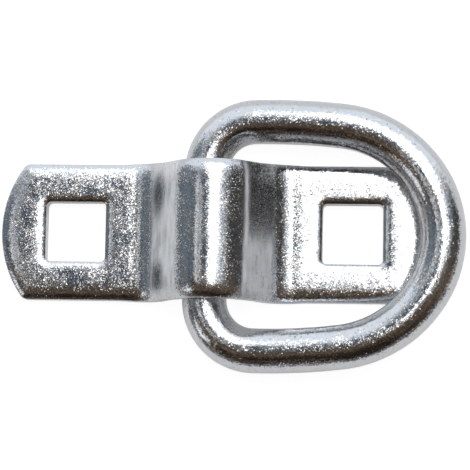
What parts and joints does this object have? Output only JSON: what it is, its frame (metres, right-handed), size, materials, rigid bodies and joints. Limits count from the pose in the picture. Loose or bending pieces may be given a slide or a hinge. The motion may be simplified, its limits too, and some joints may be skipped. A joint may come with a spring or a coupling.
{
  "type": "bolt-on lashing d-ring",
  "caption": "Bolt-on lashing point: a round-bar D-ring that swings in the raised saddle of a formed steel strap, with square bolt holes in the strap's end tabs.",
  "frame": {"origin": "midway between the bolt holes, on the surface that the strap is bolted to, under the saddle", "axes": "+X along the strap towards the tab that the ring lies over, +Y along the ring's straight bar, +Z away from the mounting surface"},
  "size_m": [0.1295, 0.0758, 0.0203],
  "materials": {
    "bracket_zinc": "bright zinc plating over rolled and pressed steel, shiny with a fine pebbled grain",
    "ring_zinc": "bright zinc plating over forged steel bar, shiny and lightly pitted"
  },
  "bodies": {
    "bracket": {"bracket": "bracket_zinc"},
    "ring": {"d_ring": "ring_zinc"}
  },
  "joints": [
    {"name": "ring_swing", "type": "hinge", "parent": "bracket", "child": "ring", "pos_m": [-0.0019, -0.001, 0.0064], "axis": [0, -1, 0], "range_deg": [0, 173.6]}
  ]
}
